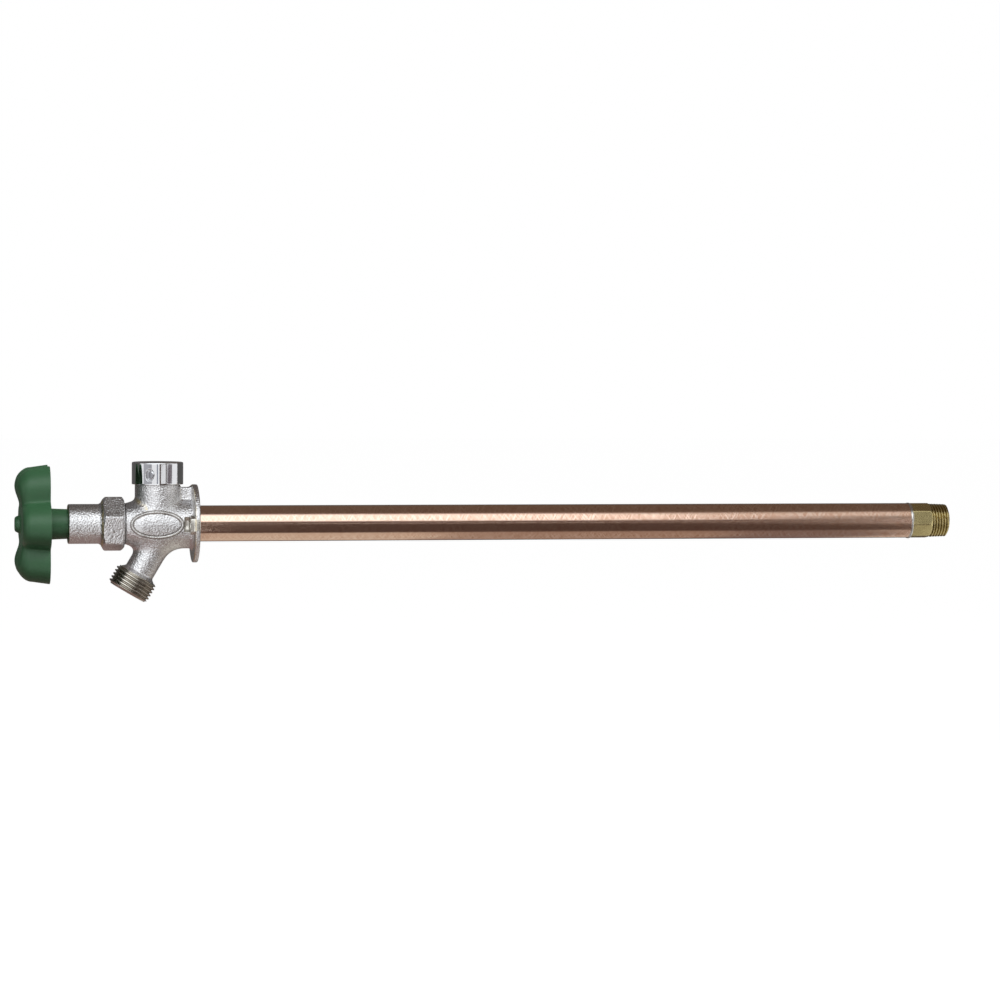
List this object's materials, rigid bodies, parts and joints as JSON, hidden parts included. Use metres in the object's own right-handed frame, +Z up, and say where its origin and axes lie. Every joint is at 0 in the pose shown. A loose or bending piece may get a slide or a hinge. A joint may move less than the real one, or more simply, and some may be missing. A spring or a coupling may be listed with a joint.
{
  "type": "frost free sillcock",
  "caption": "Frost free outdoor tap: lobed handle, hexagon bonnet, capped vacuum breaker, tilted hose outlet, wall flange and a long copper tube to a threaded inlet.",
  "frame": {"origin": "centre of the flange's wall face, on the tube's axis", "axes": "+X along the tube into the wall, -X towards the handle, +Z up, with the valve closed at rest"},
  "size_m": [0.594, 0.0788, 0.0862],
  "materials": {
    "plated_cast_brass": "satin plating over a sand-cast surface, brass wearing through at edges",
    "bright_chrome": "polished",
    "copper_tube": "brushed satin copper",
    "solder": "satin",
    "machined_brass": "machined",
    "enamelled_cast_metal": "satin green enamel over a cast surface",
    "zinc_plated_steel": "zinc plated",
    "washer_rubber": "moulded",
    "packing_graphite": "graphite-filled braided packing",
    "valve_plastic": "moulded"
  },
  "bodies": {
    "root": {"hydrant_body": "plated_cast_brass", "supply_tube": "copper_tube", "tube_solder_ring": "solder", "inlet_fitting": "machined_brass", "inlet_solder_ring": "solder", "bonnet_nut": "plated_cast_brass", "packing_washer": "machined_brass", "packing_rings": "packing_graphite", "packing_gland": "machined_brass", "vb_guide": "valve_plastic", "vb_vent_seat": "machined_brass", "vb_o_ring": "washer_rubber", "vb_cap": "bright_chrome", "vb_cap_screw": "bright_chrome"},
    "washer_carrier": {"washer_holder": "machined_brass", "swivel_collar": "machined_brass", "seat_washer": "washer_rubber", "seat_washer_screw": "machined_brass"},
    "stem": {"stem_rod": "machined_brass", "rod_clip": "zinc_plated_steel", "rod_pin": "zinc_plated_steel", "stem_head": "machined_brass", "handle": "enamelled_cast_metal", "handle_lock_washer": "zinc_plated_steel", "handle_screw": "zinc_plated_steel"},
    "poppet": {"vb_poppet": "valve_plastic", "vb_poppet_seal": "washer_rubber"}
  },
  "joints": [
    {"name": "valve_travel", "type": "slide", "parent": "root", "child": "washer_carrier", "axis": [-1, 0, 0], "range_m": [0, 0.00765]},
    {"name": "handle_turn", "type": "hinge", "parent": "washer_carrier", "child": "stem", "pos_m": [0, 0, 0], "axis": [-1, 0, 0], "range_deg": [0, 540]},
    {"name": "poppet_lift", "type": "slide", "parent": "root", "child": "poppet", "axis": [0, 0, 1], "range_m": [0, 0.0027]}
  ],
  "couplings": [
    {"joint": "valve_travel", "follows": "handle_turn", "m_per_rad": 0.00080851}
  ]
}
